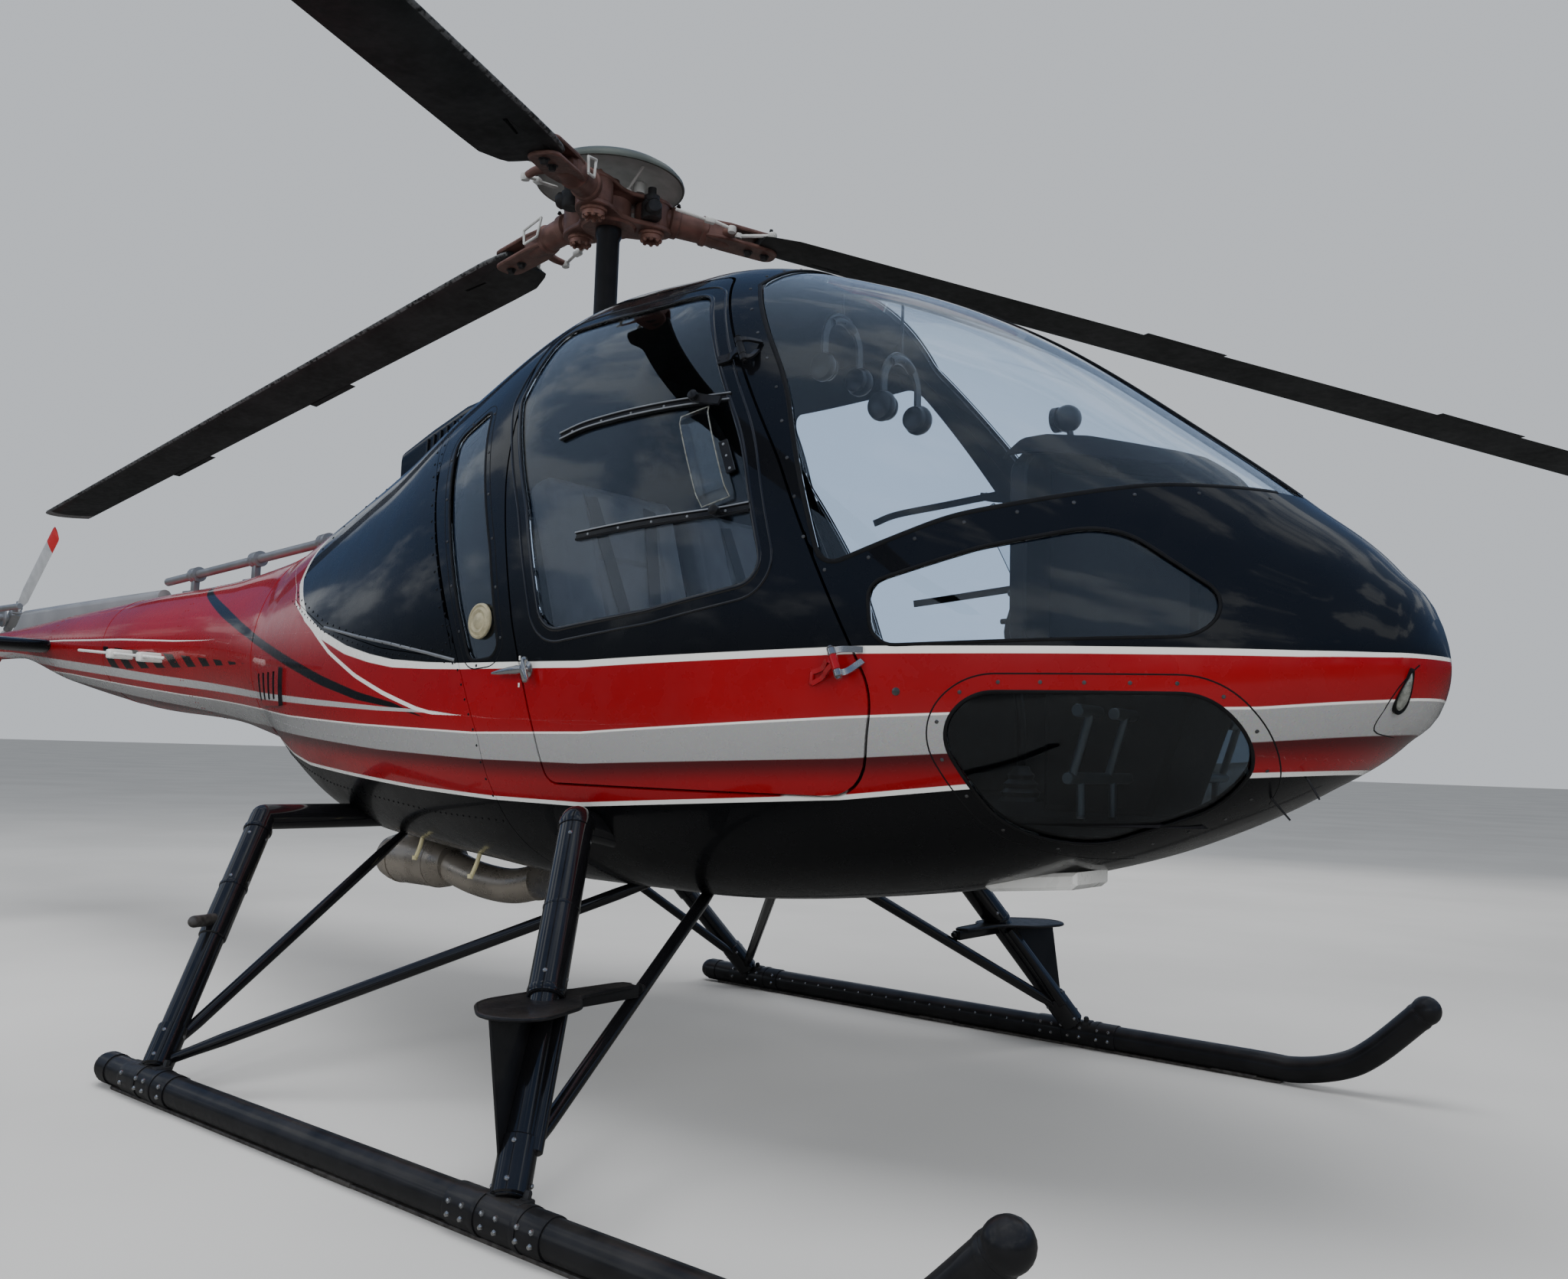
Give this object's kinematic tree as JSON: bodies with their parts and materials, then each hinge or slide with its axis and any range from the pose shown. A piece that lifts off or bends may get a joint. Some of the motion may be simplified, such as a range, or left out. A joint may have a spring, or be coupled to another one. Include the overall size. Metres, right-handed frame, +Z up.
{
  "type": "light helicopter",
  "caption": "Light piston helicopter on skids with hinged doors, glazed cabin, bench seat, drooping main rotor, tail rotor and fins, finished in black and red.",
  "frame": {"origin": "on the ground, under the middle of the overall box", "axes": "+X towards the nose, +Y towards port, +Z up"},
  "size_m": [8.9234, 8.4982, 2.87],
  "materials": {
    "body_black": "gloss black paint over laminate",
    "body_red": "gloss red paint over laminate",
    "glazing": "clear, lightly tinted",
    "interior": "satin black",
    "upholstery": "grey padded cover",
    "machinery": "cast and machined, dull",
    "silver_paint": "silver paint",
    "gear_black": "satin black paint",
    "exhaust": "heat stained",
    "hub": "bronze primer",
    "blade": "matt dark grey"
  },
  "bodies": {
    "airframe": {"windshield_right": "glazing", "windshield_left": "glazing", "front_window_right": "glazing", "front_window_left": "glazing", "chin_window_right": "glazing", "chin_window_left": "glazing", "quarter_window_right": "glazing", "quarter_window_left": "glazing", "engine_panel_right": "body_black", "engine_panel_left": "body_black", "cabin_shell": "body_black", "aft_body": "body_red", "top_cowl": "body_black", "air_scoop": "body_black", "cabin_floor": "interior", "rear_bulkhead": "interior", "engine_deck": "machinery", "engine_block": "machinery", "main_gearbox": "machinery", "seat_base": "interior", "seat_cushion": "upholstery", "seat_back": "upholstery", "instrument_pedestal": "interior", "cyclic_stick": "interior", "collective_lever": "interior", "tail_boom": "body_red", "top_fin": "silver_paint", "drive_shaft": "machinery", "tail_gearbox": "machinery", "stabiliser_right": "gear_black", "stabiliser_left": "gear_black", "ventral_fin": "body_red", "tail_guard": "gear_black", "boom_antenna_right": "silver_paint", "boom_antenna_left": "silver_paint", "belly_pod": "silver_paint", "silencer": "exhaust", "skid_right": "gear_black", "skid_left": "gear_black", "front_cross_tube": "gear_black", "rear_cross_tube": "gear_black", "front_leg_right": "gear_black", "front_leg_left": "gear_black", "rear_leg_right": "gear_black", "rear_leg_left": "gear_black"},
    "door_right": {"door_right": "body_red", "door_window_right": "glazing"},
    "door_left": {"door_left": "body_red", "door_window_left": "glazing"},
    "main_rotor": {"rotor_mast_and_hub": "hub", "rotor_cap": "blade", "blade_grip_1": "hub", "blade_grip_2": "hub", "blade_grip_3": "hub", "main_blade_1": "blade", "main_blade_2": "blade", "main_blade_3": "blade"},
    "tail_rotor": {"tail_rotor": "machinery"}
  },
  "joints": [
    {"name": "door_right_hinge", "type": "hinge", "parent": "airframe", "child": "door_right", "pos_m": [2.81384, -0.46559, 1.87], "axis": [-0.4329, 0.1028, 0.8956], "range_deg": [0, 75]},
    {"name": "door_left_hinge", "type": "hinge", "parent": "airframe", "child": "door_left", "pos_m": [2.81384, 0.76841, 1.87], "axis": [0.4329, 0.1028, -0.8956], "range_deg": [0, 75]},
    {"name": "main_rotor_spin", "type": "hinge", "parent": "airframe", "child": "main_rotor", "pos_m": [1.67084, 0.15141, 2], "axis": [0, 0, 1], "continuous": true},
    {"name": "tail_rotor_spin", "type": "hinge", "parent": "airframe", "child": "tail_rotor", "pos_m": [-3.63916, 0.40141, 1.584], "axis": [0, 1, 0], "continuous": true}
  ],
  "couplings": [
    {"joint": "tail_rotor_spin", "follows": "main_rotor_spin", "ratio": 7.15}
  ]
}
